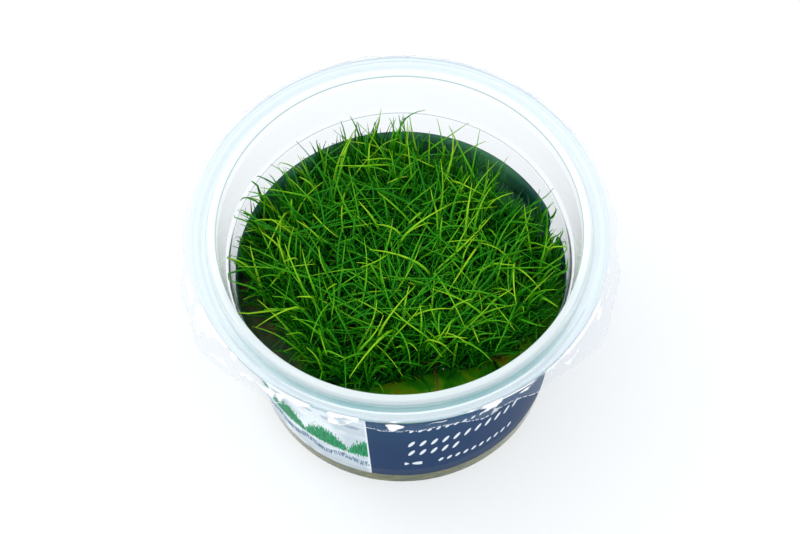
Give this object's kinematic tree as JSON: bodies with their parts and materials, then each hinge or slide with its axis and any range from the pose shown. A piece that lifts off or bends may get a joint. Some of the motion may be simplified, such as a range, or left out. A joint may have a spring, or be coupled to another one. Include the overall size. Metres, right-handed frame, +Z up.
{
  "type": "dwarf hairgrass",
  "caption": "Mat of fine arching hairgrass blades on olive gel in a clear tapering round culture tub with a collared rim, a wrap label and a film skirt.",
  "frame": {"origin": "centre of the tub's flat bottom, on the surface it stands on", "axes": "+Z up along the tub's axis; -Y towards the side that shows the label's front in the picture; +X to that view's right"},
  "size_m": [0.1076, 0.1072, 0.0672],
  "materials": {
    "clear_plastic": "clear gloss, faintly teal where it is thick",
    "printed_label": "printed satin, navy and pale grey panels, dark teal on its back",
    "clear_film": "clear crinkled film",
    "olive_gel": "wet, glossy, cloudy olive",
    "blade_green": "moist living leaf, satin"
  },
  "bodies": {
    "root": {"tub": "clear_plastic", "wrap_label": "printed_label", "seal_film": "clear_film", "growing_gel": "olive_gel", "hairgrass": "blade_green"}
  },
  "joints": []
}
